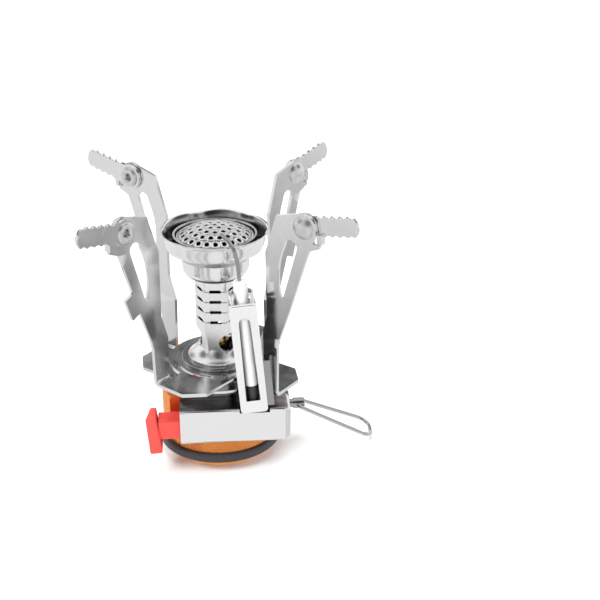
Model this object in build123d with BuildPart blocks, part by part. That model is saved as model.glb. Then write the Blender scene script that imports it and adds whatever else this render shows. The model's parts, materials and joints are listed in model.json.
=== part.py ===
"""Folding canister stove with a push-button igniter.

The stove stands on its canister collar: +Z is up, the origin is on the burner's axis at the
foot, and the igniter box runs along X on the -Y side. Millimetres throughout.
"""
from build123d import *
import os
from math import cos, radians, sin

os.makedirs("parts", exist_ok=True)

# ---------------------------------------------------------------- driving dimensions
SHEET = 1.2                    # arm plates
THIN_SHEET = 0.7               # igniter box, guard, burner bowls
RUNNING = 0.05                 # radial clearance of shafts and hinge pins
FACE_GAP = 0.05                # gap between faces that slide over each other

# canister collar, turned, with its foot
FOOT_RADIUS, FOOT_HEIGHT = 15.4, 3.5
GRIP_RADIUS, GRIP_TOP, GRIP_SEAT = 20.2, 6.5, 17.5
COLLAR_RADIUS, COLLAR_TOP, COLLAR_CHAMFER = 18.9, 22.7, 0.6
VALVE_RADIUS = 8.0             # valve body inside the collar
SEAT_RADIUS, SEAT_DEPTH = 12.5, 2.0

# canister thread, 7/16-28 UNEF: bore at the thread's minor diameter
THREAD_RADIUS, THREAD_LENGTH = 5.15, 6.6
CHAMBER_RADIUS, CHAMBER_TOP = 5.6, 10.8
PIN_LOW, PIN_HIGH, OPENER_RADIUS = 8.7, 12.2, 1.2
GAS_RADIUS = 0.8

# neck and hub that carry the arm plates
LUG_RADIUS = 9.0
NECK_RADIUS, NECK_TOP = 11.5, 26.6
NECK_GROOVES, GROOVE_RADIUS = (24.2, 25.5), 0.35
SPIGOT_RADIUS, SPIGOT_TOP = 7.0, 33.0
HUB_RING_RADIUS, SPACER_RADIUS = 11.9, 11.0
PLATE_HALF_WIDTH, PLATE_REACH, PLATE_DISC = 14.0, 26.0, 16.1
LOWER_PLATE_Z = NECK_TOP
SPACER_TOP = 30.85
UPPER_PLATE_Z = SPACER_TOP + FACE_GAP
PIN_CIRCLE, PIN_RADIUS, SLOT_WIDTH = 14.3, 0.7, 1.6
PIN_AZIMUTH, FOLD_ANGLE = 192.0, 65.0

# arms: upright sheets set off the centre line, with a hinged serrated tip each
ARM_FACE = -3.6                # outer face of an arm, measured across its own radius
ARM_FOOT_IN, ARM_FOOT_OUT = 20.3, 26.0
BEND_INSIDE = 0.8
PIVOT_R, PIVOT_Z = 36.1, 86.3
BOSS_RADIUS = 4.5
RIVET_RADIUS, RIVET_HEAD, EYELET_RADIUS = 1.5, 3.6, 3.3
TIP_SHEET, TIP_LENGTH, TIP_ROOT, TIP_RISE = 1.1, 18.4, 4.2, 11.0
TIP_LOW, TIP_HIGH = -3.0, 3.4
TOOTH_PITCH, TOOTH_RADIUS = 2.7, 1.3
UPPER_ARMS = {"front_left": 226.0, "back_right": 46.0}
LOWER_ARMS = {"back_left": 140.0, "front_right": 320.0}

# burner
HEX_TURN = 54.3                # corner of the hexagon, from +X
TUBE_CORNER, TUBE_BORE, TUBE_TOP = 7.0, 4.9, 61.5
FLANGE_RADIUS = 9.8
AIR_HOLE_RADIUS, AIR_HOLE_Z, AIR_HOLE_TURN = 3.1, 39.8, 62.0
SLOT_ROWS, SLOT_LOW, SLOT_STEP = 4, 46.9, 3.57
GROOVE_DEPTH, GROOVE_HEIGHT = 0.4, 0.5
SLIT_WIDTH, SLIT_HEIGHT = 3.6, 1.0
CUP_RADIUS, CUP_TOP = 10.6, 70.0
BOWL_RIM_RADIUS, BOWL_RIM_Z = 16.9, 76.7
PETALS = 6
MESH_RADIUS, MESH_TOP = 13.2, 75.4
DOME_RADIUS, DOME_TOP, DOME_EDGE, DOME_SHEET = 12.6, 78.3, 74.4, 0.5
MESH_HOLE_RADIUS, MESH_STEP, MESH_HOLE_RINGS = 0.65, 2.6, 4

# valve spindle and its wire key
SPINDLE_Z, SPINDLE_RADIUS, SPINDLE_START = 13.3, 1.4, 3.0
SPINDLE_HEAD_RADIUS, SPINDLE_HEAD_HALF = 1.8, 2.0
GLAND_RADIUS, GLAND_INNER_X, GLAND_FACE_X, GLAND_END_X = 3.5, 13.0, 18.0, 23.0
SEAL_LENGTH = 1.6
KEY_X, KEY_WIRE, KEY_DROOP = 26.2, 0.65, 25.0
KEY_LENGTH, KEY_ROOT, KEY_END = 27.0, 2.5, 5.8

# igniter box, button and piezo module
BOX_LEFT, BOX_RIGHT = -13.1, 22.2
BOX_FRONT, BOX_BACK = -20.5, -9.5
BOX_BOTTOM, BOX_TOP = 11.4, 23.4
BOX_RIVET_RADIUS = 1.0
RIVET_PLACES = [(-5.0, 17.4), (6.0, 17.4)]
RIVET_DEPTH = 2.5               # of the rivets in the collar
BUTTON_FRONT, BUTTON_BACK = BOX_FRONT, -12.9
BUTTON_Y, BUTTON_Z, BUTTON_NECK = -16.2, 16.3, 6.6
BUTTON_NECK_START, BUTTON_NECK_END = -20.0, -8.5
BUTTON_RELIEF = -13.6          # the collar is cut back up to here for the pressed button
MODULE_LEFT, MODULE_HEIGHT = 0.5, 7.8
SPRING_START, SPRING_RADIUS, SPRING_WIRE, SPRING_COILS = -15.6, 2.0, 0.25, 8

# electrode guard: a sheet channel that leans towards the burner
GUARD_FOOT = (10.6, -20.9, 22.4)
GUARD_LEAN = -4.9
GUARD_HEIGHT, GUARD_WIDTH, GUARD_DEPTH = 37.2, 8.6, 4.4
CERAMIC_RADIUS, CERAMIC_SET_BACK = 2.2, 3.0
CERAMIC_BASE, CERAMIC_TOP = 9.0, 44.6
WINDOW_LOW, WINDOW_HIGH = 4.2, 31.4
WINDOW_LOW_HALF, WINDOW_HIGH_HALF = 2.25, 1.75
LEAD_RADIUS, LEAD_BASE = 1.9, -0.9
ELECTRODE_RADIUS = 0.6
CLIP_RADIUS, CLIP_HEIGHT = 3.9, 2.9


def save(builder, name):
    """Label a finished sub-part and write its STEP file."""
    builder.part.label = name
    export_step(builder.part, f"parts/{name}.step")


def outward(azimuth):
    """Unit vector from the axis along an azimuth."""
    return Vector(cos(radians(azimuth)), sin(radians(azimuth)), 0)


def across(azimuth):
    """Unit vector a quarter turn counter-clockwise of `outward`."""
    return Vector(-sin(radians(azimuth)), cos(radians(azimuth)), 0)


def upright_plane(azimuth, offset):
    """Plane of an arm: local x is radius, local y is height, extruding by a
    negative amount goes towards the arm's tip side."""
    return Plane(origin=across(azimuth) * offset, x_dir=outward(azimuth), z_dir=across(azimuth) * -1)


def flat_plane(azimuth, height):
    """Level plane with local x along an azimuth."""
    return Plane(origin=(0, 0, height), x_dir=outward(azimuth), z_dir=(0, 0, 1))


# ---------------------------------------------------------------- collar and valve
with BuildPart() as canister_collar:
    with BuildSketch(Plane.XZ):
        with BuildLine():
            Polyline(
                (VALVE_RADIUS, SEAT_DEPTH), (SEAT_RADIUS, SEAT_DEPTH), (SEAT_RADIUS, 0),
                (FOOT_RADIUS, 0), (FOOT_RADIUS, FOOT_HEIGHT), (GRIP_SEAT, FOOT_HEIGHT),
                (GRIP_SEAT, GRIP_TOP), (COLLAR_RADIUS, GRIP_TOP),
                (COLLAR_RADIUS, COLLAR_TOP - COLLAR_CHAMFER),
                (COLLAR_RADIUS - COLLAR_CHAMFER, COLLAR_TOP), (VALVE_RADIUS, COLLAR_TOP),
                close=True,
            )
        make_face()
    revolve(axis=Axis.Z)
    # pocket for the igniter box, open to the front
    with Locations((0, BOX_BACK, BOX_BOTTOM)):
        Box(60, 30, 30, align=(Align.CENTER, Align.MAX, Align.MIN), mode=Mode.SUBTRACT)
    # the same pocket reaches lower where the button's head is pressed in
    with Locations((BUTTON_RELIEF, BUTTON_BACK + 0.6, GRIP_TOP)):
        Box(20, 20, 10, align=(Align.MAX, Align.MAX, Align.MIN), mode=Mode.SUBTRACT)
    # passage for the spindle, with the wider bore of its gland
    with BuildSketch(Plane.YZ):
        with Locations((0, SPINDLE_Z)):
            Circle(SPINDLE_RADIUS + RUNNING)
    extrude(amount=COLLAR_RADIUS + 1, mode=Mode.SUBTRACT)
    with BuildSketch(Plane.YZ.offset(GLAND_INNER_X - SEAL_LENGTH)):
        with Locations((0, SPINDLE_Z)):
            Circle(GLAND_RADIUS)
    extrude(amount=10, mode=Mode.SUBTRACT)
    # holes of the rivets that hold the igniter box
    with BuildSketch(Plane.XZ.offset(-BOX_BACK)):
        with Locations(*RIVET_PLACES):
            Circle(BOX_RIVET_RADIUS)
    extrude(amount=-RIVET_DEPTH, mode=Mode.SUBTRACT)
    # flat for the gland's hexagon
    with Locations((GLAND_FACE_X, 0, SPINDLE_Z)):
        Box(5, 9, 9, align=(Align.MIN, Align.CENTER, Align.CENTER), mode=Mode.SUBTRACT)
save(canister_collar, "canister_collar")

with BuildPart() as grip_ring:
    with BuildSketch(Plane.XZ):
        with Locations(((GRIP_SEAT + GRIP_RADIUS) / 2, (FOOT_HEIGHT + GRIP_TOP) / 2)):
            RectangleRounded(GRIP_RADIUS - GRIP_SEAT, GRIP_TOP - FOOT_HEIGHT, 0.8)
    revolve(axis=Axis.Z)
save(grip_ring, "grip_ring")

with BuildPart() as valve_body:
    with BuildSketch(Plane.XZ):
        with BuildLine():
            Polyline(
                (0, SEAT_DEPTH), (VALVE_RADIUS, SEAT_DEPTH), (VALVE_RADIUS, COLLAR_TOP),
                (LUG_RADIUS, COLLAR_TOP), (LUG_RADIUS, BOX_TOP), (NECK_RADIUS, BOX_TOP),
                (NECK_RADIUS, NECK_TOP), (SPIGOT_RADIUS, NECK_TOP), (SPIGOT_RADIUS, SPIGOT_TOP),
                (TUBE_BORE, SPIGOT_TOP), (TUBE_BORE, SPIGOT_TOP + 2.5), (0, SPIGOT_TOP + 2.5),
                close=True,
            )
        make_face()
        # turned grooves round the neck
        with Locations([(NECK_RADIUS, height) for height in NECK_GROOVES]):
            Circle(GROOVE_RADIUS, mode=Mode.SUBTRACT)
    revolve(axis=Axis.Z)
    with BuildSketch(Plane.XY.offset(SEAT_DEPTH)):
        Circle(THREAD_RADIUS)
    extrude(amount=THREAD_LENGTH, mode=Mode.SUBTRACT)
    with BuildSketch(Plane.XY):
        Circle(GAS_RADIUS)
    extrude(amount=SPIGOT_TOP + 5, mode=Mode.SUBTRACT)
    # gas chamber above the thread, and the seat of the pin that opens the canister
    with BuildSketch(Plane.XY.offset(SEAT_DEPTH + THREAD_LENGTH)):
        Circle(CHAMBER_RADIUS)
    extrude(amount=CHAMBER_TOP - SEAT_DEPTH - THREAD_LENGTH, mode=Mode.SUBTRACT)
    with BuildSketch(Plane.XY.offset(CHAMBER_TOP)):
        Circle(OPENER_RADIUS)
    extrude(amount=PIN_HIGH - CHAMBER_TOP, mode=Mode.SUBTRACT)
    # spindle bore
    with BuildSketch(Plane.YZ.offset(2.0)):
        with Locations((0, SPINDLE_Z)):
            Circle(SPINDLE_RADIUS + RUNNING)
    extrude(amount=10, mode=Mode.SUBTRACT)
    with BuildSketch(Plane.YZ.offset(0.5)):
        with Locations((0, SPINDLE_Z)):
            Circle(1.0)
    extrude(amount=2, mode=Mode.SUBTRACT)
    # groove of the canister seal
    with BuildSketch(Plane.XY.offset(SEAT_DEPTH)):
        Circle(7.4)
        Circle(5.8, mode=Mode.SUBTRACT)
    extrude(amount=0.8, mode=Mode.SUBTRACT)
    # socket of the gas jet
    with BuildSketch(Plane.XY.offset(SPIGOT_TOP)):
        Circle(2.4)
    extrude(amount=5, mode=Mode.SUBTRACT)
save(valve_body, "valve_body")

with BuildPart() as canister_seal:
    with BuildSketch(Plane.XZ):
        with Locations((6.6, SEAT_DEPTH + 0.1)):
            RectangleRounded(1.6, 1.4, 0.6)
    revolve(axis=Axis.Z)
save(canister_seal, "canister_seal")

with BuildPart() as canister_pin:
    with BuildSketch(Plane.XY.offset(PIN_LOW)):
        Circle(OPENER_RADIUS)
        Circle(0.4, mode=Mode.SUBTRACT)
    extrude(amount=PIN_HIGH - PIN_LOW)
    chamfer(canister_pin.edges().group_by(Axis.Z)[0], 0.3)
save(canister_pin, "canister_pin")

with BuildPart() as gas_jet:
    with BuildSketch(Plane.XY.offset(SPIGOT_TOP)):
        Circle(2.4)
    extrude(amount=2.5)
    with BuildSketch(Plane.XY.offset(SPIGOT_TOP + 2.5)):
        RegularPolygon(3.6, 6)
    extrude(amount=3.0)
    with BuildSketch(Plane.XY.offset(SPIGOT_TOP + 5.5)):
        Circle(2.6)
    extrude(amount=2.4, taper=12)
    with BuildSketch(Plane.XY.offset(SPIGOT_TOP)):
        Circle(0.4)
    extrude(amount=12, mode=Mode.SUBTRACT)
save(gas_jet, "gas_jet")

with BuildPart() as valve_spindle:
    with BuildSketch(Plane.YZ.offset(SPINDLE_START)):
        with Locations((0, SPINDLE_Z)):
            Circle(SPINDLE_RADIUS)
    extrude(amount=KEY_X - SPINDLE_HEAD_HALF - SPINDLE_START)
    # needle
    with BuildSketch(Plane.YZ.offset(SPINDLE_START)):
        with Locations((0, SPINDLE_Z)):
            Circle(0.9)
    extrude(amount=-2.2, taper=15)
    # head with the cross hole of the wire key
    with BuildSketch(Plane.YZ.offset(KEY_X - SPINDLE_HEAD_HALF)):
        with Locations((0, SPINDLE_Z)):
            Circle(SPINDLE_HEAD_RADIUS)
    extrude(amount=2 * SPINDLE_HEAD_HALF)
    chamfer(valve_spindle.faces().sort_by(Axis.X)[-1].edges(), 0.3)
    with BuildSketch(Plane.XZ.offset(-5)):
        with Locations((KEY_X, SPINDLE_Z)):
            Circle(KEY_WIRE + RUNNING)
    extrude(amount=10, mode=Mode.SUBTRACT)
save(valve_spindle, "valve_spindle")

with BuildPart() as spindle_gland:
    with BuildSketch(Plane.YZ.offset(GLAND_INNER_X)):
        with Locations((0, SPINDLE_Z)):
            Circle(GLAND_RADIUS)
    extrude(amount=GLAND_FACE_X - GLAND_INNER_X)
    with BuildSketch(Plane.YZ.offset(GLAND_FACE_X)):
        with Locations((0, SPINDLE_Z)):
            RegularPolygon(4.4, 6)
    extrude(amount=GLAND_END_X - GLAND_FACE_X)
    chamfer(spindle_gland.faces().sort_by(Axis.X)[-1].edges(), 0.35)
    with BuildSketch(Plane.YZ.offset(GLAND_INNER_X - 1)):
        with Locations((0, SPINDLE_Z)):
            Circle(SPINDLE_RADIUS + RUNNING)
    extrude(amount=12, mode=Mode.SUBTRACT)
save(spindle_gland, "spindle_gland")

with BuildPart() as spindle_seal:
    with BuildSketch(Plane.YZ.offset(GLAND_INNER_X - SEAL_LENGTH)):
        with Locations((0, SPINDLE_Z)):
            Circle(GLAND_RADIUS)
            Circle(SPINDLE_RADIUS + RUNNING, mode=Mode.SUBTRACT)
    extrude(amount=SEAL_LENGTH)
save(spindle_seal, "spindle_seal")

# wire key: both ends of the wire sit in the spindle's cross hole
key_plane = Plane(
    origin=(KEY_X, 0, SPINDLE_Z),
    x_dir=(cos(radians(KEY_DROOP)), 0, -sin(radians(KEY_DROOP))),
    z_dir=(sin(radians(KEY_DROOP)), 0, cos(radians(KEY_DROOP))),
)
with BuildPart() as control_key:
    with BuildLine(key_plane) as key_path:
        FilletPolyline(
            (0, -0.5), (0, -KEY_ROOT), (KEY_LENGTH, -KEY_END),
            (KEY_LENGTH, KEY_END), (0, KEY_ROOT), (0, 0.5),
            radius=[1.1, 3.8, 3.8, 1.1],
        )
    with BuildSketch(Plane(origin=key_path.line @ 0, z_dir=key_path.line % 0)):
        Circle(KEY_WIRE)
    sweep(path=key_path.line)
save(control_key, "control_key")


# ---------------------------------------------------------------- arm plates
def arm_outline(foot, tabbed):
    """Flat shape of one upright arm in radius and height, above its bend."""
    with BuildSketch() as outline:
        with BuildLine():
            Polyline(
                (ARM_FOOT_IN, foot), (ARM_FOOT_OUT, foot), (26.3, 44.0), (27.2, 47.5),
                (31.0, 58.0), (36.8, 75.6), (38.2, 79.4), (41.8, 80.9), (41.8, PIVOT_Z - 4.3),
                (39.6, PIVOT_Z - 4.3), (40.5, PIVOT_Z), (35.6, PIVOT_Z + 4.3), (26.3, 88.2),
                (22.2, 75.5), (22.5, 54.0), (20.0, 46.0),
                close=True,
            )
        make_face()
        with Locations((PIVOT_R, PIVOT_Z)):
            Circle(BOSS_RADIUS)
        if tabbed:
            # hammer-shaped finger tab on the arm's outer edge
            Polygon((30.0, 58.9), (32.4, 66.2), (36.7, 64.2), (34.2, 57.0), align=None)
        # teardrop window
        with BuildLine():
            inner = ThreePointArc((27.6, 62.3), (26.9, 70.5), (29.3, 79.2))
            top = ThreePointArc(inner @ 1, (31.8, 81.5), (33.8, 79.0))
            outer = Line(top @ 1, (28.8, 62.3))
            ThreePointArc(outer @ 1, (28.2, 61.7), inner @ 0)
        make_face(mode=Mode.SUBTRACT)
        with Locations((PIVOT_R, PIVOT_Z)):
            Circle(RIVET_RADIUS, mode=Mode.SUBTRACT)
    return outline.sketch


def plate_with_arms(azimuths, bottom, tabbed, holes):
    """Level plate on the hub with an arm bent up from the edge at each azimuth."""
    bend_line = ARM_FACE + SHEET + BEND_INSIDE
    bend_top = bottom + SHEET + BEND_INSIDE
    with BuildPart() as plate:
        with BuildSketch(Plane.XY.offset(bottom)):
            Circle(PLATE_DISC)
        extrude(amount=SHEET)
        for azimuth in azimuths:
            with BuildSketch(flat_plane(azimuth, bottom)):
                with BuildLine():
                    Polyline(
                        (0, PLATE_HALF_WIDTH), (PLATE_REACH - 5.2, PLATE_HALF_WIDTH),
                        (PLATE_REACH, PLATE_HALF_WIDTH - 5.5), (PLATE_REACH, bend_line),
                        (ARM_FOOT_IN, bend_line), (ARM_FOOT_IN - 0.8, bend_line + 0.8),
                        (10.0, -4.0), (0, 0),
                        close=True,
                    )
                make_face()
            extrude(amount=SHEET)
            # quarter-round bend between the plate and the arm
            bend_plane = Plane(
                origin=outward(azimuth) * ARM_FOOT_IN + Vector(0, 0, bend_top),
                x_dir=across(azimuth),
                z_dir=outward(azimuth),
            )
            with BuildSketch(bend_plane):
                with BuildLine():
                    outside = CenterArc((bend_line, 0), SHEET + BEND_INSIDE, 180, 90)
                    inside = CenterArc((bend_line, 0), BEND_INSIDE, 180, 90)
                    Line(outside @ 0, inside @ 0)
                    Line(outside @ 1, inside @ 1)
                make_face()
            extrude(amount=ARM_FOOT_OUT - ARM_FOOT_IN)
            with BuildSketch(upright_plane(azimuth, ARM_FACE)):
                add(arm_outline(bend_top, tabbed))
            extrude(amount=-SHEET)
        with BuildSketch(Plane.XY.offset(bottom)):
            add(holes)
        extrude(amount=SHEET, mode=Mode.SUBTRACT)
    return plate


pin_place = outward(PIN_AZIMUTH) * PIN_CIRCLE
with BuildSketch() as lower_holes:
    Circle(SPIGOT_RADIUS)
    with Locations((pin_place.X, pin_place.Y)):
        Circle(PIN_RADIUS)
lower_arm_plate = plate_with_arms(LOWER_ARMS.values(), LOWER_PLATE_Z, False, lower_holes.sketch)
save(lower_arm_plate, "lower_arm_plate")

# the upper plate's arc slot lets it fold by FOLD_ANGLE round the limit pin
with BuildLine() as slot_line:
    CenterArc((0, 0), PIN_CIRCLE, PIN_AZIMUTH - 1, FOLD_ANGLE + 2)
with BuildSketch() as upper_holes:
    Circle(SPIGOT_RADIUS + RUNNING)
    SlotArc(slot_line.wires()[0], SLOT_WIDTH)
upper_arm_plate = plate_with_arms(UPPER_ARMS.values(), UPPER_PLATE_Z, True, upper_holes.sketch)
save(upper_arm_plate, "upper_arm_plate")

with BuildPart() as plate_washer:
    with BuildSketch(Plane.XY.offset(LOWER_PLATE_Z + SHEET)):
        Circle(SPACER_RADIUS)
        Circle(SPIGOT_RADIUS, mode=Mode.SUBTRACT)
    extrude(amount=SPACER_TOP - LOWER_PLATE_Z - SHEET)
save(plate_washer, "plate_washer")

with BuildPart() as hub_washer:
    with BuildSketch(Plane.XY.offset(UPPER_PLATE_Z + SHEET + FACE_GAP)):
        Circle(HUB_RING_RADIUS)
        Circle(SPIGOT_RADIUS, mode=Mode.SUBTRACT)
    extrude(amount=SPIGOT_TOP - UPPER_PLATE_Z - SHEET - FACE_GAP)
    fillet(hub_washer.edges().filter_by(GeomType.CIRCLE).sort_by(SortBy.RADIUS)[-2:], 0.25)
save(hub_washer, "hub_washer")

with BuildPart() as limit_pin:
    with BuildSketch(Plane.XY.offset(LOWER_PLATE_Z)):
        with Locations((pin_place.X, pin_place.Y)):
            Circle(PIN_RADIUS)
    extrude(amount=UPPER_PLATE_Z + SHEET - LOWER_PLATE_Z)
save(limit_pin, "limit_pin")


# ---------------------------------------------------------------- serrated tips and rivets
def tip_plane(azimuth, offset):
    """Plane through a tip's rivet, with local x along the tip."""
    along = outward(azimuth) * cos(radians(TIP_RISE)) + Vector(0, 0, sin(radians(TIP_RISE)))
    pivot = outward(azimuth) * PIVOT_R + across(azimuth) * offset + Vector(0, 0, PIVOT_Z)
    return Plane(origin=pivot, x_dir=along, z_dir=across(azimuth) * -1)


def serrated_tip(azimuth):
    """Pot-support tip beside its arm, with scalloped edges and a lug that rests on the arm."""
    tip_face = ARM_FACE + SHEET + 2 * FACE_GAP
    with BuildPart() as tip:
        with BuildSketch(tip_plane(azimuth, tip_face)):
            with BuildLine():
                low = Line((0, TIP_LOW), (TIP_LENGTH - 1.7, TIP_LOW))
                end = ThreePointArc(low @ 1, (TIP_LENGTH, 0.4), (TIP_LENGTH - 1.7, TIP_HIGH))
                Polyline(end @ 1, (0, TIP_HIGH), (0, TIP_LOW))
            make_face()
            Circle(TIP_ROOT)
            with Locations([(5.4 + TOOTH_PITCH * i, TIP_HIGH + 0.55) for i in range(5)]):
                Circle(TOOTH_RADIUS, mode=Mode.SUBTRACT)
            with Locations([(7.6 + TOOTH_PITCH * i, TIP_LOW - 0.8) for i in range(4)]):
                Circle(TOOTH_RADIUS, mode=Mode.SUBTRACT)
        extrude(amount=-TIP_SHEET)
        # lug bent over the arm's outer edge, which carries the load of the pot
        with BuildSketch(upright_plane(azimuth, ARM_FACE)):
            with Locations((PIVOT_R + 4.8, PIVOT_Z - 4.2)):
                Rectangle(1.6, 3.2, align=(Align.MIN, Align.MIN))
        extrude(amount=-(SHEET + 2 * FACE_GAP + TIP_SHEET))
        with BuildSketch(tip_plane(azimuth, tip_face)):
            Circle(RIVET_RADIUS + RUNNING)
        extrude(amount=-TIP_SHEET, mode=Mode.SUBTRACT)
    return tip


def tip_rivet(azimuth):
    """Rivet with a domed head outside the arm and a rolled, hollow end over the tip."""
    head = ARM_FACE
    roll = ARM_FACE + SHEET + 3 * FACE_GAP + TIP_SHEET
    pivot = outward(azimuth) * PIVOT_R + Vector(0, 0, PIVOT_Z)
    with BuildPart() as rivet:
        with BuildSketch(Plane(origin=pivot, x_dir=outward(azimuth), z_dir=(0, 0, 1))):
            with BuildLine():
                dome = ThreePointArc((0, head - 1.9), (2.4, head - 1.3), (RIVET_HEAD, head))
                Polyline(dome @ 1, (RIVET_RADIUS, head), (RIVET_RADIUS, roll), (EYELET_RADIUS, roll))
                rolled = ThreePointArc((EYELET_RADIUS, roll), (2.4, roll + 0.85), (1.1, roll + 0.2))
                Polyline(rolled @ 1, (0.9, roll - 1.2), (0, roll - 1.2), (0, head - 1.9))
            make_face()
        revolve(axis=Axis(pivot, across(azimuth)))
    return rivet


for place, azimuth in {**LOWER_ARMS, **UPPER_ARMS}.items():
    save(serrated_tip(azimuth), f"support_tip_{place}")
    save(tip_rivet(azimuth), f"tip_rivet_{place}")


# ---------------------------------------------------------------- burner
with BuildPart() as burner_tube:
    with BuildSketch(Plane.XZ):
        with BuildLine():
            edge = Line((FLANGE_RADIUS, SPIGOT_TOP), (FLANGE_RADIUS, SPIGOT_TOP + 0.9))
            flare = ThreePointArc(edge @ 1, (8.4, SPIGOT_TOP + 1.7), (6.3, SPIGOT_TOP + 4.4))
            Polyline(flare @ 1, (0, SPIGOT_TOP + 4.4), (0, SPIGOT_TOP), edge @ 0)
        make_face()
    revolve(axis=Axis.Z)
    with BuildSketch(Plane.XY.offset(SPIGOT_TOP)):
        RegularPolygon(TUBE_CORNER, 6, rotation=HEX_TURN)
    extrude(amount=TUBE_TOP - SPIGOT_TOP)
    with BuildSketch(Plane.XY.offset(SPIGOT_TOP)):
        Circle(TUBE_BORE)
    extrude(amount=TUBE_TOP - SPIGOT_TOP, mode=Mode.SUBTRACT)
    # rows of saw-cut slots: a shallow groove right round, and a slit through each face
    for row in range(SLOT_ROWS):
        height = SLOT_LOW + SLOT_STEP * row
        with BuildSketch(Plane.XY.offset(height)):
            RegularPolygon(TUBE_CORNER + 1, 6, rotation=HEX_TURN)
            RegularPolygon(TUBE_CORNER - GROOVE_DEPTH, 6, rotation=HEX_TURN, mode=Mode.SUBTRACT)
        extrude(amount=GROOVE_HEIGHT, mode=Mode.SUBTRACT)
        with BuildSketch(Plane.XY.offset(height + (GROOVE_HEIGHT - SLIT_HEIGHT) / 2)):
            for side in range(3):
                Rectangle(3 * TUBE_CORNER, SLIT_WIDTH, rotation=HEX_TURN + 30 + 60 * side)
        extrude(amount=SLIT_HEIGHT, mode=Mode.SUBTRACT)
    # three drilled air holes
    for hole in range(3):
        toward = outward(AIR_HOLE_TURN + 120 * hole)
        with BuildSketch(Plane(origin=(0, 0, AIR_HOLE_Z), z_dir=toward)):
            Circle(AIR_HOLE_RADIUS)
        extrude(amount=TUBE_CORNER + 2, mode=Mode.SUBTRACT)
save(burner_tube, "burner_tube")

with BuildPart() as burner_cup:
    with BuildSketch(Plane.XZ):
        with BuildLine():
            base = Line((TUBE_BORE, TUBE_TOP), (7.3, TUBE_TOP))
            taper = ThreePointArc(base @ 1, (9.7, 62.6), (CUP_RADIUS, 65.0))
            wall = Line(taper @ 1, (CUP_RADIUS, CUP_TOP))
            lip = Line(wall @ 1, (CUP_RADIUS - THIN_SHEET, CUP_TOP))
            inner_wall = Line(lip @ 1, (CUP_RADIUS - THIN_SHEET, 65.2))
            inner_taper = ThreePointArc(inner_wall @ 1, (9.1, 63.3), (7.0, 62.3))
            Polyline(inner_taper @ 1, (TUBE_BORE, 62.3), (TUBE_BORE, TUBE_TOP))
        make_face()
    revolve(axis=Axis.Z)
save(burner_cup, "burner_cup")

with BuildPart() as wind_ring:
    with BuildSketch(Plane.XZ):
        with BuildLine():
            Polyline(
                (CUP_RADIUS, CUP_TOP - 1.8), (CUP_RADIUS + 0.6, CUP_TOP - 1.8),
                (CUP_RADIUS + 0.6, CUP_TOP - 0.5), (14.9, 70.9), (15.6, 71.9), (16.3, 75.3),
                (BOWL_RIM_RADIUS, BOWL_RIM_Z), (BOWL_RIM_RADIUS - THIN_SHEET, BOWL_RIM_Z),
                (15.65, 75.6), (14.95, 72.2), (14.5, 71.6), (CUP_RADIUS, CUP_TOP + 0.15),
                close=True,
            )
        make_face()
    revolve(axis=Axis.Z)
    # narrow slits between the petals
    with BuildSketch(Plane.XY.offset(CUP_TOP + 0.6)):
        with PolarLocations(15.0, PETALS, start_angle=48):
            Rectangle(2.4, 0.5)
    extrude(amount=2.6, mode=Mode.SUBTRACT)
save(wind_ring, "wind_ring")

with BuildPart() as mesh_ring:
    with BuildSketch(Plane.XZ):
        with BuildLine():
            Polyline(
                (CUP_RADIUS - 1.4, CUP_TOP - 2.0), (CUP_RADIUS - THIN_SHEET, CUP_TOP - 2.0),
                (CUP_RADIUS - THIN_SHEET, CUP_TOP + 0.2), (MESH_RADIUS, MESH_TOP - 3.0),
                (MESH_RADIUS, MESH_TOP), (DOME_RADIUS, MESH_TOP),
                (DOME_RADIUS, MESH_TOP - 2.6), (CUP_RADIUS - 1.4, CUP_TOP + 0.6),
                close=True,
            )
        make_face()
    revolve(axis=Axis.Z)
    # two tabs that tie the ring to the bowl
    with BuildSketch(Plane.XY.offset(MESH_TOP - 2.0)):
        with PolarLocations(MESH_RADIUS + 0.95, 2, start_angle=2):
            Rectangle(2.0, 2.0)
    extrude(amount=0.6)
save(mesh_ring, "mesh_ring")

with BuildPart() as mesh_dome:
    with BuildSketch(Plane.XZ):
        with BuildLine():
            shoulder = (DOME_RADIUS * 0.55, DOME_TOP - (DOME_TOP - DOME_EDGE) * 0.27)
            outer_arc = ThreePointArc((0, DOME_TOP), shoulder, (DOME_RADIUS, DOME_EDGE))
            rim = Line(outer_arc @ 1, (DOME_RADIUS - DOME_SHEET, DOME_EDGE))
            inner_shoulder = (shoulder[0] - 0.2, shoulder[1] - DOME_SHEET)
            inner_arc = ThreePointArc(rim @ 1, inner_shoulder, (0, DOME_TOP - DOME_SHEET))
            Line(inner_arc @ 1, outer_arc @ 0)
        make_face()
    revolve(axis=Axis.Z)
    with BuildSketch(Plane.XY.offset(DOME_EDGE - 1)):
        Circle(MESH_HOLE_RADIUS)
        for ring in range(1, MESH_HOLE_RINGS + 1):
            with PolarLocations(MESH_STEP * ring, 6 * ring):
                Circle(MESH_HOLE_RADIUS)
    extrude(amount=8, mode=Mode.SUBTRACT)
save(mesh_dome, "mesh_dome")


# ---------------------------------------------------------------- igniter
BOX_DEPTH = BOX_BACK - BOX_FRONT
BOX_HEIGHT = BOX_TOP - BOX_BOTTOM
BOX_MID_Y = (BOX_FRONT + BOX_BACK) / 2
BOX_MID_Z = (BOX_BOTTOM + BOX_TOP) / 2

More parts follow.
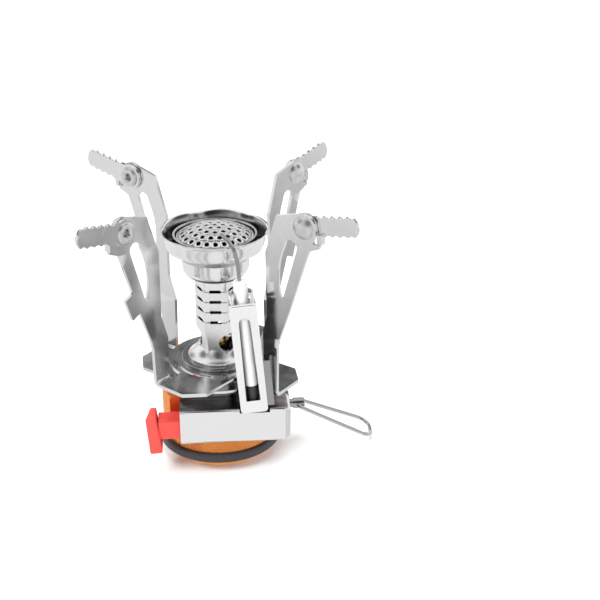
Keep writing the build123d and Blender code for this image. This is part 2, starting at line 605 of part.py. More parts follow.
with BuildPart() as igniter_box:
    with BuildSketch(Plane.YZ.offset(BOX_LEFT)):
        with Locations((BOX_MID_Y, BOX_MID_Z)):
            RectangleRounded(BOX_DEPTH, BOX_HEIGHT, 0.9)
    extrude(amount=BOX_RIGHT - BOX_LEFT)
    # folded end of the sheet
    fillet(igniter_box.edges().filter_by(Axis.Z).group_by(Axis.X)[-1], 2.2)
    # lug on the collar's top that the neck clamps
    with BuildSketch(Plane.XY.offset(COLLAR_TOP)):
        Circle(13.4)
        Polygon(
            (-9.6, BOX_FRONT + 3), (BOX_RIGHT - 3.2, BOX_FRONT + 3), (BOX_RIGHT - 3.2, -7.2),
            (0, 4), (-12.6, -5),
        )
    extrude(amount=BOX_TOP - COLLAR_TOP)
    with BuildSketch(Plane.YZ.offset(BOX_LEFT)):
        with Locations((BOX_MID_Y, BOX_MID_Z)):
            Rectangle(BOX_DEPTH - 2 * THIN_SHEET, BOX_HEIGHT - 2 * THIN_SHEET)
    extrude(amount=BOX_RIGHT - BOX_LEFT - THIN_SHEET, mode=Mode.SUBTRACT)
    with BuildSketch(Plane.XY.offset(COLLAR_TOP)):
        Circle(LUG_RADIUS)
    extrude(amount=2, mode=Mode.SUBTRACT)
    # notch for the guard's foot
    with Locations((GUARD_FOOT[0], BOX_FRONT - 1, GUARD_FOOT[2] - 0.4)):
        Box(
            GUARD_WIDTH + 1.0, GUARD_DEPTH + 1.6, 3,
            align=(Align.CENTER, Align.MIN, Align.MIN), mode=Mode.SUBTRACT,
        )
    with BuildSketch(Plane.XZ.offset(-BOX_BACK)):
        with Locations(*RIVET_PLACES):
            Circle(BOX_RIVET_RADIUS)
    extrude(amount=THIN_SHEET, mode=Mode.SUBTRACT)
save(igniter_box, "igniter_box")

with BuildPart() as igniter_button:
    with BuildSketch(Plane.XZ.offset(-BUTTON_BACK)):
        Polygon((-24.0, 21.2), (-20.6, 21.4), (-19.0, 8.6), (-22.9, 8.3), align=None)
    extrude(amount=BUTTON_BACK - BUTTON_FRONT)
    # the finger face turns away at the back
    with BuildSketch(Plane.XY):
        Polygon(
            (-25, BUTTON_FRONT), (-24.0, BUTTON_FRONT), (-22.6, BUTTON_BACK), (-25, BUTTON_BACK),
            align=None,
        )
    extrude(amount=BOX_TOP, mode=Mode.SUBTRACT)
    fillet(igniter_button.edges(), 0.5)
    with BuildSketch(Plane.YZ.offset(BUTTON_NECK_START)):
        with Locations((BUTTON_Y, BUTTON_Z)):
            RectangleRounded(BUTTON_NECK, BUTTON_NECK, 0.6)
    extrude(amount=BUTTON_NECK_END - BUTTON_NECK_START)
    # well for the return spring
    with BuildSketch(Plane.YZ.offset(SPRING_START - 0.4)):
        with Locations((BUTTON_Y, BUTTON_Z)):
            Circle(SPRING_RADIUS + 0.6)
    extrude(amount=20, mode=Mode.SUBTRACT)
save(igniter_button, "igniter_button")

with BuildPart() as piezo_module:
    with BuildSketch(Plane.YZ.offset(MODULE_LEFT)):
        with Locations((BOX_MID_Y, BOX_MID_Z)):
            RectangleRounded(BOX_DEPTH - 2 * THIN_SHEET - 0.1, MODULE_HEIGHT, 1.0)
    extrude(amount=BOX_RIGHT - THIN_SHEET - 1.0 - MODULE_LEFT)
    # striker rod inside the spring
    with BuildSketch(Plane.YZ.offset(MODULE_LEFT - 5)):
        with Locations((BUTTON_Y, BUTTON_Z)):
            Circle(1.3)
    extrude(amount=6)
save(piezo_module, "piezo_module")

spring_length = MODULE_LEFT - 0.4 - SPRING_START
with BuildPart() as button_spring:
    coil = Helix(
        pitch=spring_length / SPRING_COILS, height=spring_length, radius=SPRING_RADIUS,
        center=(SPRING_START, BUTTON_Y, BUTTON_Z), direction=(1, 0, 0), mode=Mode.PRIVATE,
    )
    with BuildSketch(Plane(origin=coil @ 0, z_dir=coil % 0)):
        Circle(SPRING_WIRE)
    sweep(path=coil, is_frenet=True)
save(button_spring, "button_spring")

# the guard, bracket, ceramic and clip share one leaning frame: local x across, y up the lean
guard_plane = Plane(
    origin=GUARD_FOOT,
    x_dir=(cos(radians(GUARD_LEAN)), 0, -sin(radians(GUARD_LEAN))),
    z_dir=(0, -1, 0),
)
guard_side = GUARD_WIDTH / 2
guard_up = guard_plane.y_dir


def guard_level(height, back):
    """Plane square to the guard's lean, `height` along it, with its origin `back` behind the face."""
    origin = Vector(*GUARD_FOOT) + guard_up * height + Vector(0, back, 0)
    return Plane(origin=origin, x_dir=guard_plane.x_dir, z_dir=guard_up)


with BuildPart() as electrode_guard:
    with BuildSketch(guard_plane):
        with Locations((0, GUARD_HEIGHT / 2)):
            RectangleRounded(GUARD_WIDTH, GUARD_HEIGHT, 1.2)
    extrude(amount=-GUARD_DEPTH)
    with BuildSketch(guard_level(-1, THIN_SHEET)):
        Rectangle(GUARD_WIDTH - 2 * THIN_SHEET, GUARD_DEPTH, align=(Align.CENTER, Align.MIN))
    extrude(amount=GUARD_HEIGHT + 2, mode=Mode.SUBTRACT)
    with BuildSketch(guard_plane):
        with BuildLine():
            low = Line((-WINDOW_LOW_HALF, WINDOW_LOW), (WINDOW_LOW_HALF, WINDOW_LOW))
            side = Line(low @ 1, (WINDOW_HIGH_HALF, WINDOW_HIGH))
            ThreePointArc(
                side @ 1, (0, WINDOW_HIGH + WINDOW_HIGH_HALF), (-WINDOW_HIGH_HALF, WINDOW_HIGH)
            )
            Line((-WINDOW_HIGH_HALF, WINDOW_HIGH), low @ 0)
        make_face()
    extrude(amount=-2 * THIN_SHEET, mode=Mode.SUBTRACT)
    # tongue that folds over the top, joined at the sides below a narrow gap
    with BuildSketch(guard_level(GUARD_HEIGHT - 1.2, 0.2)):
        Rectangle(GUARD_WIDTH - 0.4, GUARD_DEPTH - 0.4, align=(Align.CENTER, Align.MIN))
        with Locations((0, CERAMIC_SET_BACK - 0.2)):
            Circle(CERAMIC_RADIUS, mode=Mode.SUBTRACT)
    extrude(amount=1.8)
    with BuildSketch(guard_level(GUARD_HEIGHT + 0.6, CERAMIC_SET_BACK)):
        Circle(CLIP_RADIUS)
        Circle(CLIP_RADIUS - THIN_SHEET, mode=Mode.SUBTRACT)
        with Locations((0, -CLIP_RADIUS)):
            Rectangle(5.2, 5.0, mode=Mode.SUBTRACT)
    extrude(amount=CLIP_HEIGHT)
save(electrode_guard, "electrode_guard")

with BuildPart() as igniter_bracket:
    with BuildSketch(guard_level(1.4, 1.0)):
        with Locations((guard_side, 0)):
            Rectangle(THIN_SHEET, 2.0, align=(Align.MIN, Align.MIN))
            Rectangle(2.2, THIN_SHEET, align=(Align.MIN, Align.MIN))
    extrude(amount=16.0)
save(igniter_bracket, "igniter_bracket")

with BuildPart() as ceramic_insulator:
    with BuildSketch(guard_level(CERAMIC_BASE, CERAMIC_SET_BACK)):
        Circle(CERAMIC_RADIUS)
    extrude(amount=CERAMIC_TOP - CERAMIC_BASE)
    chamfer(ceramic_insulator.edges().filter_by(GeomType.CIRCLE).sort_by(Axis.Z)[-1], 0.4)
    with BuildSketch(guard_level(CERAMIC_BASE, CERAMIC_SET_BACK)):
        Circle(ELECTRODE_RADIUS)
    extrude(amount=CERAMIC_TOP, mode=Mode.SUBTRACT)
save(ceramic_insulator, "ceramic_insulator")

rod_base = guard_level(CERAMIC_BASE, CERAMIC_SET_BACK).origin
rod_top = guard_level(CERAMIC_TOP, CERAMIC_SET_BACK).origin
with BuildPart() as electrode_wire:
    with BuildLine() as wire_path:
        FilletPolyline(
            rod_base, rod_top + guard_up * 1.5, (6.2, -18.8, 73.6),
            (5.3, -18.3, 77.0), (4.0, -15.9, 78.8), (1.9, -11.4, 79.3),
            radius=[6.0, 5.0, 2.6, 4.0],
        )
    with BuildSketch(Plane(origin=wire_path.line @ 0, z_dir=wire_path.line % 0)):
        Circle(ELECTRODE_RADIUS)
    sweep(path=wire_path.line)
save(electrode_wire, "electrode_wire")

# insulated lead from the piezo module's output to the foot of the ceramic
with BuildPart() as igniter_lead:
    with BuildSketch(guard_level(LEAD_BASE, CERAMIC_SET_BACK)):
        Circle(LEAD_RADIUS)
    extrude(amount=CERAMIC_BASE - LEAD_BASE)
save(igniter_lead, "igniter_lead")

with BuildPart() as box_rivets:
    with BuildSketch(Plane.XZ.offset(-BOX_BACK - RIVET_DEPTH)):
        with Locations(*RIVET_PLACES):
            Circle(BOX_RIVET_RADIUS)
    extrude(amount=RIVET_DEPTH + THIN_SHEET)
save(box_rivets, "box_rivets")
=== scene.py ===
"""Looks of the folding canister stove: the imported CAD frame, finer pieces and materials."""
import json
import math

import bpy
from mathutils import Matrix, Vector


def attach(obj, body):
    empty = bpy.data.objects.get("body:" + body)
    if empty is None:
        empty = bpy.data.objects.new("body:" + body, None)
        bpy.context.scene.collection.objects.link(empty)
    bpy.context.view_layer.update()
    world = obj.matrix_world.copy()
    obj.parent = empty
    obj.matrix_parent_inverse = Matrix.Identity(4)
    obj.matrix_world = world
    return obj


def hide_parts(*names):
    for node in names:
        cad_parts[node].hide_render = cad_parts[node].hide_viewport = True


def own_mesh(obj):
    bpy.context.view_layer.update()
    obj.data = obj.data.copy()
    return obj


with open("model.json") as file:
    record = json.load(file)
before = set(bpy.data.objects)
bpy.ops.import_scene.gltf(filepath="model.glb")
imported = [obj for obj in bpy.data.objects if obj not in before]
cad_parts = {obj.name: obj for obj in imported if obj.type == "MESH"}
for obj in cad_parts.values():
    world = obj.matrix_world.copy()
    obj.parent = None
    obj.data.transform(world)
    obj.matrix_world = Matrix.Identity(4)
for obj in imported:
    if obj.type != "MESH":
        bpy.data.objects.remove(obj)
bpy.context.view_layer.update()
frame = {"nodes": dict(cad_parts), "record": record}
nodes = frame["nodes"]
MM = 0.001


# ---------------------------------------------------------------- materials
SMUDGE_SCALE = 120             # large patches of uneven polish
POLISH_SPREAD = 0.06           # how far they change a metal's roughness
METAL_BUMP, SOFT_BUMP = 0.00005, 0.0001
STEEL = (0.87, 0.865, 0.87)


def new_material(name, color, metallic=0.0, roughness=0.5):
    """Principled material; returns the material, its node tree and the shader."""
    mat = bpy.data.materials.new(name)
    mat.use_nodes = True
    tree = mat.node_tree
    shader = tree.nodes["Principled BSDF"]
    shader.inputs["Base Color"].default_value = (*color, 1)
    shader.inputs["Metallic"].default_value = metallic
    shader.inputs["Roughness"].default_value = roughness
    return mat, tree, shader


def noise(tree, scale, detail=3.0, stretch=(1, 1, 1)):
    """Noise texture in object space, stretched along an axis if asked."""
    coords = tree.nodes.new("ShaderNodeTexCoord")
    mapping = tree.nodes.new("ShaderNodeMapping")
    mapping.inputs["Scale"].default_value = stretch
    texture = tree.nodes.new("ShaderNodeTexNoise")
    texture.inputs["Scale"].default_value = scale
    texture.inputs["Detail"].default_value = detail
    tree.links.new(coords.outputs["Object"], mapping.inputs["Vector"])
    tree.links.new(mapping.outputs["Vector"], texture.inputs["Vector"])
    return texture.outputs["Fac"]


def map_range(tree, source, low, high, from_low=0.3, from_high=0.7):
    """Maps a value to a range."""
    node = tree.nodes.new("ShaderNodeMapRange")
    node.inputs["From Min"].default_value = from_low
    node.inputs["From Max"].default_value = from_high
    node.inputs["To Min"].default_value = low
    node.inputs["To Max"].default_value = high
    tree.links.new(source, node.inputs["Value"])
    return node.outputs["Result"]


def mix_color(tree, factor, first, second):
    """Blends two colours by a factor socket; the first may be a socket too."""
    node = tree.nodes.new("ShaderNodeMix")
    node.data_type = "RGBA"
    if isinstance(first, bpy.types.NodeSocket):
        tree.links.new(first, node.inputs["A"])
    else:
        node.inputs["A"].default_value = (*first, 1)
    node.inputs["B"].default_value = (*second, 1)
    tree.links.new(factor, node.inputs["Factor"])
    return node.outputs["Result"]


def bump(tree, shader, height, strength, distance):
    """Bump from a height socket."""
    node = tree.nodes.new("ShaderNodeBump")
    node.inputs["Strength"].default_value = strength
    node.inputs["Distance"].default_value = distance
    tree.links.new(height, node.inputs["Height"])
    tree.links.new(node.outputs["Normal"], shader.inputs["Normal"])


def metal(name, color, rough, grain=(1, 1, 1), scale=900, tone=0.06, bumps=0.05):
    """Sheet or turned metal: uneven polish, faint grain and small tone changes."""
    mat, tree, shader = new_material(name, color, 1.0, rough)
    smudge = noise(tree, SMUDGE_SCALE, 2.0)
    fine = noise(tree, scale, 4.0, grain)
    tree.links.new(map_range(tree, smudge, rough - POLISH_SPREAD / 2, rough + POLISH_SPREAD),
                   shader.inputs["Roughness"])
    darker = tuple(c * (1 - tone) for c in color)
    tree.links.new(mix_color(tree, map_range(tree, fine, 0, 1), color, darker),
                   shader.inputs["Base Color"])
    bump(tree, shader, fine, bumps, METAL_BUMP)
    return mat


# painted shade: the dark colour painted into the burner's inside, where shade falls
INSIDE_SHADE = (0.035, 0.033, 0.032)
INSIDE_SHADE_FADE = 0.15               # millimetres


def below_limit(tree, limit, along_z=False):
    """1 where the point's radius round the axis, or its height, is under a limit in millimetres."""
    coords = tree.nodes.new("ShaderNodeTexCoord")
    split = tree.nodes.new("ShaderNodeSeparateXYZ")
    tree.links.new(coords.outputs["Object"], split.inputs["Vector"])
    if along_z:
        measure = split.outputs["Z"]
    else:
        flat = tree.nodes.new("ShaderNodeCombineXYZ")
        length = tree.nodes.new("ShaderNodeVectorMath")
        length.operation = "LENGTH"
        tree.links.new(split.outputs["X"], flat.inputs["X"])
        tree.links.new(split.outputs["Y"], flat.inputs["Y"])
        tree.links.new(flat.outputs["Vector"], length.inputs[0])
        measure = length.outputs["Value"]
    return map_range(tree, measure, 1, 0, (limit - INSIDE_SHADE_FADE) * MM, (limit + INSIDE_SHADE_FADE) * MM)


def shaded_inside(name, color, rough, limit, along_z=False):
    """Polished metal with painted shade inside a radius, or under a height: the dark of the burner's
    inside.
    """
    mat = metal(name, color, rough, scale=1500, tone=0.04, bumps=0.03)
    tree = mat.node_tree
    shader = tree.nodes["Principled BSDF"]
    unshaded = shader.inputs["Base Color"].links[0].from_socket
    inside = below_limit(tree, limit, along_z)
    tree.links.new(mix_color(tree, inside, unshaded, INSIDE_SHADE), shader.inputs["Base Color"])
    return mat


def shaded_faces(name, color, rough, towards, dark, least):
    """Sheet metal with painted shade in streaks on the faces that look a given way; `least` is their
    thinnest.
    """
    mat = metal(name, color, rough, scale=1500, tone=0.03, bumps=0.03)
    tree = mat.node_tree
    shader = tree.nodes["Principled BSDF"]
    unshaded = shader.inputs["Base Color"].links[0].from_socket
    coords = tree.nodes.new("ShaderNodeTexCoord")
    facing = tree.nodes.new("ShaderNodeVectorMath")
    facing.operation = "DOT_PRODUCT"
    facing.inputs[1].default_value = towards
    tree.links.new(coords.outputs["Normal"], facing.inputs[0])
    amount = tree.nodes.new("ShaderNodeMath")
    amount.operation = "MULTIPLY"
    tree.links.new(map_range(tree, facing.outputs["Value"], 0, 1, 0.55, 0.65), amount.inputs[0])
    tree.links.new(map_range(tree, noise(tree, 900, 3.0, (0.05, 1, 1)), least, 1), amount.inputs[1])
    tree.links.new(mix_color(tree, amount.outputs["Value"], unshaded, dark), shader.inputs["Base Color"])
    return mat


def soft(name, color, rough, grain_scale, bumps, tone=0.1):
    """Rubber, plastic or glaze: fine surface grain and slightly uneven gloss."""
    mat, tree, shader = new_material(name, color, 0, rough)
    fine = noise(tree, grain_scale, 3.0)
    smudge = noise(tree, 150, 2.0)
    tree.links.new(map_range(tree, smudge, rough - 0.05, rough + 0.07), shader.inputs["Roughness"])
    darker = tuple(c * (1 - tone) for c in color)
    tree.links.new(mix_color(tree, map_range(tree, smudge, 0, 1), color, darker),
                   shader.inputs["Base Color"])
    bump(tree, shader, fine, bumps, SOFT_BUMP)
    return mat


materials = {
    "polished_steel": metal("polished_steel", STEEL, 0.19, scale=1500, tone=0.04, bumps=0.03),
    "turned_steel": metal("turned_steel", (0.42, 0.42, 0.44), 0.18, grain=(0.1, 1, 1), scale=2500),
    "turned_aluminium": metal("turned_aluminium", (0.55, 0.55, 0.57), 0.16, grain=(0.1, 0.1, 5)),
    "steel_wire": metal("steel_wire", (0.62, 0.62, 0.63), 0.2),
    "brass": metal("brass", (0.72, 0.50, 0.22), 0.25),
    "orange_anodised": metal("orange_anodised", (0.98, 0.39, 0.11), 0.34, tone=0.12),
    "black_rubber": soft("black_rubber", (0.035, 0.035, 0.04), 0.5, 1800, 0.15),
    "red_plastic": soft("red_plastic", (0.78, 0.06, 0.045), 0.38, 1500, 0.08, 0.06),
    "white_ceramic": soft("white_ceramic", (0.72, 0.71, 0.71), 0.25, 700, 0.03, 0.03),
    "dark_plastic": soft("dark_plastic", (0.02, 0.02, 0.022), 0.35, 1500, 0.06),
}

# nodes whose finish differs from their slot's
node_materials = {
    # painted shade inside the tube and the cup, and below the top of the mesh ring
    "burner_tube": shaded_inside("tube_steel", STEEL, 0.24, 5.7),
    "burner_cup": shaded_inside("cup_steel", STEEL, 0.16, 10.1),
    "mesh_ring": shaded_inside("mesh_ring_steel", STEEL, 0.22, 75.0, along_z=True),
    # painted light and shade: the guard is a lighter copy of the steel, with painted shade on its faces
    # that look right and back; the box gets painted shade on its top
    "electrode_guard": shaded_faces("guard_steel", (0.96, 0.96, 0.96), 0.16, (0.7, 0.7, 0),
                                 (0.03, 0.03, 0.03), 0.95),
    "igniter_box": shaded_faces("box_steel", STEEL, 0.19, (0, 0, 0.75), (0.10, 0.10, 0.105), 0.6),
    # painted reflection: the bracket is made dark grey, so that its reflection in the front right arm
    # reads dark
    "igniter_bracket": metal("bracket_steel", (0.36, 0.36, 0.37), 0.2, scale=1500),
    "electrode_wire": metal("electrode_steel", (0.40, 0.395, 0.39), 0.22),
}
arm_steel = metal("arm_steel", (0.80, 0.797, 0.80), 0.15, scale=1500, tone=0.05, bumps=0.03)
rivet_steel = metal("rivet_steel", (0.74, 0.735, 0.74), 0.34, scale=1500, bumps=0.03)
for name in nodes:
    if name.endswith("arm_plate") or name.startswith("support_tip"):
        node_materials[name] = arm_steel
    if name.startswith("tip_rivet"):
        node_materials[name] = rivet_steel

SHEET_NODES = (
    "lower_arm_plate", "upper_arm_plate", "igniter_box", "electrode_guard", "igniter_bracket",
    "support_tip_back_left", "support_tip_front_right", "support_tip_front_left",
    "support_tip_back_right", "burner_tube", "valve_body", "canister_collar", "spindle_gland",
)
EDGE = 0.11 * MM


def soften_edges(node, width):
    """Small rounded edges, so that sheet and turned edges catch the light."""
    weld = node.modifiers.new("weld", "WELD")
    weld.merge_threshold = 0.002 * MM
    rounding = node.modifiers.new("edges", "BEVEL")
    rounding.width = width
    rounding.segments = 2
    rounding.limit_method = "ANGLE"
    rounding.angle_limit = math.radians(55)
    rounding.use_clamp_overlap = True
    rounding.harden_normals = True


for entry in frame["record"]["subparts"]:
    node = nodes[entry["node"]]
    node.data.materials.clear()
    node.data.materials.append(node_materials.get(entry["node"], materials[entry["material_slot"]]))
for name in SHEET_NODES:
    soften_edges(nodes[name], EDGE)


# ---------------------------------------------------------------- finer pieces
def add_piece(name, points, faces, slot_name, body="stove_base", smooth=True):
    """Mesh in millimetres that rides on a body with the material of a slot."""
    mesh = bpy.data.meshes.new(name)
    mesh.from_pydata([(x * MM, y * MM, z * MM) for x, y, z in points], [], faces)
    mesh.validate()
    mesh.polygons.foreach_set("use_smooth", [smooth] * len(mesh.polygons))
    mesh.materials.append(materials[slot_name])
    piece = bpy.data.objects.new(name, mesh)
    bpy.context.scene.collection.objects.link(piece)
    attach(piece, body)
    return piece


def lathe(profile, segments, shape):
    """Closed profile turned round the axis; shape(angle, radius, height) may vary it."""
    points, faces = [], []
    count = len(profile)
    for i in range(segments):
        angle = 2 * math.pi * i / segments
        for radius, height in profile:
            r, z = shape(angle, radius, height)
            points.append((r * math.cos(angle), r * math.sin(angle), z))
        for j in range(count):
            k, n = (j + 1) % count, (i + 1) % segments
            faces.append((i * count + j, n * count + j, n * count + k, i * count + k))
    return points, faces


# wind ring: a pan of six petals with a rolled lip, which rises in waves at the back
RING_PROFILE = [
    (11.2, 68.2), (11.2, 69.5), (13.0, 70.15), (14.6, 70.75), (15.2, 71.15), (15.55, 71.8),
    (15.8, 73.0), (16.05, 74.3), (16.3, 75.3), (16.6, 76.0), (16.95, 76.5), (17.1, 76.75),
    (17.0, 76.95), (16.7, 76.95), (16.35, 76.5), (15.95, 75.9), (15.6, 75.2), (15.3, 74.0),
    (15.05, 72.8), (14.8, 72.0), (14.3, 71.45), (12.8, 70.85), (10.65, 70.15), (10.65, 68.2),
]
INSIDE_BANDS = range(14, 23)   # the profile's edges on the inside, below the lip
PETALS, PETAL_TURN = 6, math.radians(78)
WAVE_FOOT, WAVE_HEIGHT, WAVE_RISE, WAVE_DIP = 71.5, 5.0, 0.6, 0.2
CREASE_FOOT, CREASE_DEPTH = 70.6, 0.35
RING_SIDES = 256


def petal(angle, radius, height):
    """Lifts the back rim in the middle of a petal and pinches the ring between petals."""
    reach = min(1.0, max(0.0, (height - WAVE_FOOT) / WAVE_HEIGHT))
    middle = 0.5 + 0.5 * math.cos(PETALS * (angle - PETAL_TURN))
    pinch = (1 - middle) ** 10
    crease = CREASE_DEPTH * pinch if height > CREASE_FOOT else 0.0
    wave = reach * (WAVE_RISE * middle - WAVE_DIP) * max(0.0, math.sin(angle))
    return radius - crease, height + wave


ring_points, ring_faces = lathe(RING_PROFILE, RING_SIDES, petal)
wind_ring = add_piece("petal_wind_ring", ring_points, ring_faces, "polished_steel")
# painted shade: the pan's inside below the lip is given a dark grey
wind_ring.data.materials.append(metal("ring_inside_shade", (0.36, 0.355, 0.35), 0.2, scale=1500, bumps=0.03))
for face in wind_ring.data.polygons:
    if face.index % len(RING_PROFILE) in INSIDE_BANDS:
        face.material_index = 1
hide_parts("wind_ring")

# perforated dome: polar cells, each a patch of sheet round one hole
DOME_RINGS, DOME_PITCH, DOME_HOLE = 4, 2.6, 0.72
DOME_TOP, DOME_DROP, DOME_RADIUS, DOME_EDGE = 78.3, 3.6, 12.2, 12.5
DOME_POWER, DOME_SHEET = 2.2, 0.35
DOME_SIDES = 20


def dome_point(x, y):
    """Point of the dome's crowned surface."""
    share = math.hypot(x, y) / DOME_RADIUS
    return (x, y, DOME_TOP - DOME_DROP * share ** DOME_POWER)


dome_points, dome_faces = [], []


def dome_cell(ring, place):
    """Ring of quads between one round hole and the outline of its polar cell."""
    start = len(dome_points)
    radius = ring * DOME_PITCH
    half_angle = math.pi / (6 * ring) if ring else 0.0
    middle = 2 * half_angle * place
    for side in range(DOME_SIDES):
        turn = 2 * math.pi * side / DOME_SIDES
        across, along = math.cos(turn), math.sin(turn)
        if ring:
            hole_x = radius + DOME_HOLE * across
            hole_y = DOME_HOLE * along
            stretch = 1 / max(abs(across), abs(along))
            edge_radius = radius + DOME_PITCH / 2 * across * stretch
            edge_angle = middle + half_angle * along * stretch
            hole = (hole_x * math.cos(middle) - hole_y * math.sin(middle),
                    hole_x * math.sin(middle) + hole_y * math.cos(middle))
            edge = (edge_radius * math.cos(edge_angle), edge_radius * math.sin(edge_angle))
        else:
            hole = (DOME_HOLE * across, DOME_HOLE * along)
            edge = (DOME_PITCH / 2 * across, DOME_PITCH / 2 * along)
        dome_points.append(dome_point(*hole))
        dome_points.append(dome_point(*edge))
    for side in range(DOME_SIDES):
        a, b = start + 2 * side, start + 2 * ((side + 1) % DOME_SIDES)
        dome_faces.append((a, a + 1, b + 1, b))


dome_cell(0, 0)
for ring in range(1, DOME_RINGS + 1):
    for place in range(6 * ring):
        dome_cell(ring, place)
# plain border out to the mesh ring
BORDER_SIDES = 144
border = len(dome_points)
for side in range(BORDER_SIDES):
    turn = 2 * math.pi * side / BORDER_SIDES
    for radius in ((DOME_RINGS + 0.5) * DOME_PITCH, DOME_EDGE):
        dome_points.append(dome_point(radius * math.cos(turn), radius * math.sin(turn)))
    a, b = border + 2 * side, border + 2 * ((side + 1) % BORDER_SIDES)
    dome_faces.append((a, a + 1, b + 1, b))
dome = add_piece("perforated_dome", dome_points, dome_faces, "polished_steel")
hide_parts("mesh_dome")
thickness = dome.modifiers.new("sheet", "SOLIDIFY")
thickness.thickness = DOME_SHEET * MM
thickness.offset = -1

# diamond knurl round the lower band of the collar, clear of the button's pocket
KNURL_RADIUS, KNURL_DEPTH = 18.92, 0.26
KNURL_LOW, KNURL_HIGH = 6.6, 11.35
KNURL_COUNT, KNURL_ROWS = 96, 4
SAMPLES = 4
POCKET_X, POCKET_Y = -13.4, -9.7
knurl_points, knurl_faces = [], []
steps, levels = KNURL_COUNT * SAMPLES, KNURL_ROWS * SAMPLES
for i in range(steps):
    angle = 2 * math.pi * i / steps
    for j in range(levels + 1):
        one, two = (i / SAMPLES + j / SAMPLES) % 1, (i / SAMPLES - j / SAMPLES) % 1
        ridge = min(1 - abs(2 * one - 1), 1 - abs(2 * two - 1))
        edge_fade = 0.0 if j in (0, levels) else 1.0
        radius = KNURL_RADIUS + KNURL_DEPTH * ridge * edge_fade
        height = KNURL_LOW + (KNURL_HIGH - KNURL_LOW) * j / levels
        knurl_points.append((radius * math.cos(angle), radius * math.sin(angle), height))
for i in range(steps):
    x, y, _ = knurl_points[i * (levels + 1)]
    if x < POCKET_X and y < POCKET_Y:
        continue
    for j in range(levels):
        a, b = i * (levels + 1) + j, (i + 1) % steps * (levels + 1) + j
        knurl_faces.append((a, b, b + 1, a + 1))
knurl = add_piece("collar_knurl", knurl_points, knurl_faces, "orange_anodised", smooth=False)

# button spring: a coil that runs towards the module; it is fixed and does not shorten as the button goes
# in
COIL_START, COIL_END, COIL_Y, COIL_Z = -15.6, 0.1, -16.2, 16.3
COIL_RADIUS, COIL_WIRE, COIL_TURNS = 2.0, 0.25, 8
ROUND, TURN_STEPS = 8, 24
STEPS = TURN_STEPS * COIL_TURNS
coil_points, coil_faces = [], []
for i in range(STEPS + 1):
    angle = 2 * math.pi * i / TURN_STEPS
    middle = COIL_START + (COIL_END - COIL_START) * i / STEPS
    for side in range(ROUND):
        turn = 2 * math.pi * side / ROUND
        reach = COIL_RADIUS + COIL_WIRE * math.cos(turn)
        coil_points.append((middle + COIL_WIRE * math.sin(turn),
                            COIL_Y + reach * math.cos(angle), COIL_Z + reach * math.sin(angle)))
    if i:
        for side in range(ROUND):
            a, b = i * ROUND + side, i * ROUND + (side + 1) % ROUND
            coil_faces.append((a - ROUND, a, b, b - ROUND))
coil_faces.append(tuple(range(ROUND)))
coil_faces.append(tuple(STEPS * ROUND + side for side in reversed(range(ROUND))))
coil = add_piece("spring_coil", coil_points, coil_faces, "steel_wire")
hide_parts("button_spring")
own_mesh(coil)


# ---------------------------------------------------------------- stage, light and camera
# white floor; it glows a little far from the stove, where the lamps no longer reach
FLOOR_HALF = 30.0
GLOW_START, GLOW_FULL, GLOW = 0.25, 0.9, 0.4
floor_mesh = bpy.data.meshes.new("floor")
floor_mesh.from_pydata([(-FLOOR_HALF, -FLOOR_HALF, 0), (FLOOR_HALF, -FLOOR_HALF, 0),
                        (FLOOR_HALF, FLOOR_HALF, 0), (-FLOOR_HALF, FLOOR_HALF, 0)], [], [(0, 1, 2, 3)])
floor = bpy.data.objects.new("floor", floor_mesh)
bpy.context.scene.collection.objects.link(floor)
floor_material, floor_tree, floor_shader = new_material("floor", (0.95, 0.95, 0.95), 0, 0.6)
distance = floor_tree.nodes.new("ShaderNodeVectorMath")
distance.operation = "LENGTH"
floor_tree.links.new(floor_tree.nodes.new("ShaderNodeTexCoord").outputs["Object"], distance.inputs[0])
floor_shader.inputs["Emission Color"].default_value = (1, 1, 1, 1)
floor_tree.links.new(map_range(floor_tree, distance.outputs["Value"], 0, GLOW, GLOW_START, GLOW_FULL),
                     floor_shader.inputs["Emission Strength"])
floor_mesh.materials.append(floor_material)
floor.visible_glossy = False


def area_light(name, location, target, size, power):
    """Soft square light aimed at a point."""
    data = bpy.data.lights.new(name, "AREA")
    data.size = size
    data.energy = power
    light = bpy.data.objects.new(name, data)
    bpy.context.scene.collection.objects.link(light)
    light.location = location
    light.rotation_euler = (Vector(target) - Vector(location)).to_track_quat("-Z", "Y").to_euler()
    light.visible_glossy = False
    return light


focus = (0, 0, 0.05)
area_light("key_light", (-0.55, -0.40, 0.70), focus, 0.45, 7)
area_light("fill_light", (0.70, -0.30, 0.45), focus, 0.45, 3)
area_light("top_light", (0.05, 0.15, 0.95), focus, 0.6, 8)

# the studio round the set: white, with grey and dark flags that the polished metal mirrors
world = bpy.data.worlds.new("studio")
bpy.context.scene.world = world
world.use_nodes = True
sky = world.node_tree
sky_direction = sky.nodes.new("ShaderNodeTexCoord").outputs["Generated"]


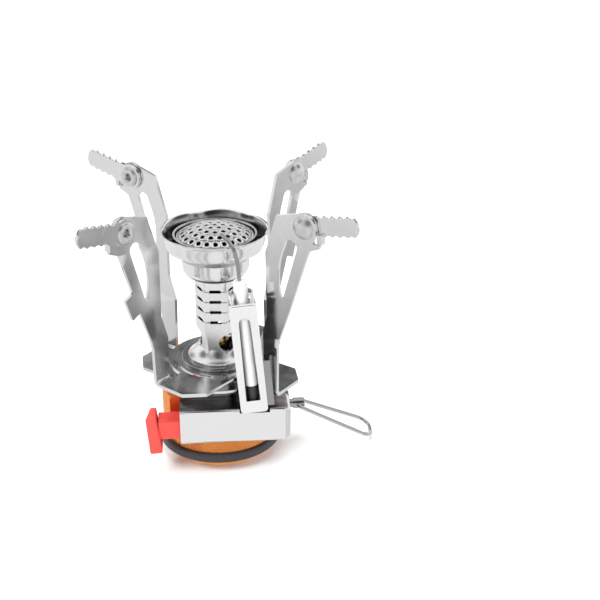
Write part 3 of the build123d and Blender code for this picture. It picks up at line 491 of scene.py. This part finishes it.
def flag(color, azimuth, elevation, inner, outer, value, upright=False):
    """Turns the sky grey within an angle of a direction, or for an upright slat within an azimuth."""
    az, el = math.radians(azimuth), math.radians(elevation)
    direction = sky_direction
    if upright:
        level = sky.nodes.new("ShaderNodeVectorMath")
        level.operation = "MULTIPLY"
        level.inputs[1].default_value = (1, 1, 0)
        unit = sky.nodes.new("ShaderNodeVectorMath")
        unit.operation = "NORMALIZE"
        sky.links.new(sky_direction, level.inputs[0])
        sky.links.new(level.outputs["Vector"], unit.inputs[0])
        direction = unit.outputs["Vector"]
    dot = sky.nodes.new("ShaderNodeVectorMath")
    dot.operation = "DOT_PRODUCT"
    dot.inputs[1].default_value = (math.cos(el) * math.cos(az), math.cos(el) * math.sin(az), math.sin(el))
    sky.links.new(direction, dot.inputs[0])
    spread = sky.nodes.new("ShaderNodeMapRange")
    spread.interpolation_type = "SMOOTHSTEP"
    spread.inputs["From Min"].default_value = math.cos(math.radians(outer))
    spread.inputs["From Max"].default_value = math.cos(math.radians(inner))
    sky.links.new(dot.outputs["Value"], spread.inputs["Value"])
    return mix_color(sky, spread.outputs["Result"], color, (value, value, value))


FLAGS = (
    # azimuth, elevation, inner, outer, grey
    (90, -90, 76, 86, 0.90),    # all that lies low round the set
    (270, -27, 14, 30, 0.95),   # low behind the camera: fronts of the box and guard
    (0, -25, 6, 11, 0.40),      # right, low: face of the front left arm
    (-3, -29, 3, 8, 0.24),
    (195, -28, 3, 7, 0.42),     # left, low: front right arm, darkest at its foot
    (195, -31, 3.5, 6, 0.03),
    (66, 29, 4, 13, 0.05),      # behind: tops of the box and plates
    (86, 30, 5, 11, 0.05),
    (104, 27, 2, 9, 0.12),
    (124, 28, 4, 13, 0.10),
    (270, 44, 20, 34, 0.045),   # over the camera: inside of the bowl
    (180, 34, 12, 22, 0.12),
    (0, 36, 12, 22, 0.12),
)
SLATS = (
    # azimuth, inner, outer, grey: dark streaks down the turned pieces
    (222, 2, 6, 0.50),
    (243, 1, 5, 0.34),
    (304, 1, 5, 0.32),
    (326, 2, 6, 0.50),
)
sky_color = (1.0, 1.0, 1.0)
for flag_values in FLAGS:
    sky_color = flag(sky_color, *flag_values)
for azimuth, inner, outer, value in SLATS:
    sky_color = flag(sky_color, azimuth, 0, inner, outer, value, upright=True)
seen = sky.nodes.new("ShaderNodeLightPath").outputs["Is Camera Ray"]
sky.links.new(mix_color(sky, seen, sky_color, (1.0, 1.0, 1.0)), sky.nodes["Background"].inputs["Color"])
sky.nodes["Background"].inputs["Strength"].default_value = 1.0

CAMERA_PLACE = (-0.0044, -0.3558, 0.2174)
CAMERA_PITCH, CAMERA_TURN, CAMERA_LENS = 65.05, -5, 73.3
camera_data = bpy.data.cameras.new("camera")
camera_data.lens = CAMERA_LENS
camera_data.sensor_width = 36
camera_data.clip_start = 0.01
camera = bpy.data.objects.new("camera", camera_data)
bpy.context.scene.collection.objects.link(camera)
camera.location = CAMERA_PLACE
camera.rotation_euler = (math.radians(CAMERA_PITCH), 0, math.radians(CAMERA_TURN))
bpy.context.scene.camera = camera
bpy.context.scene.view_settings.view_transform = "Standard"
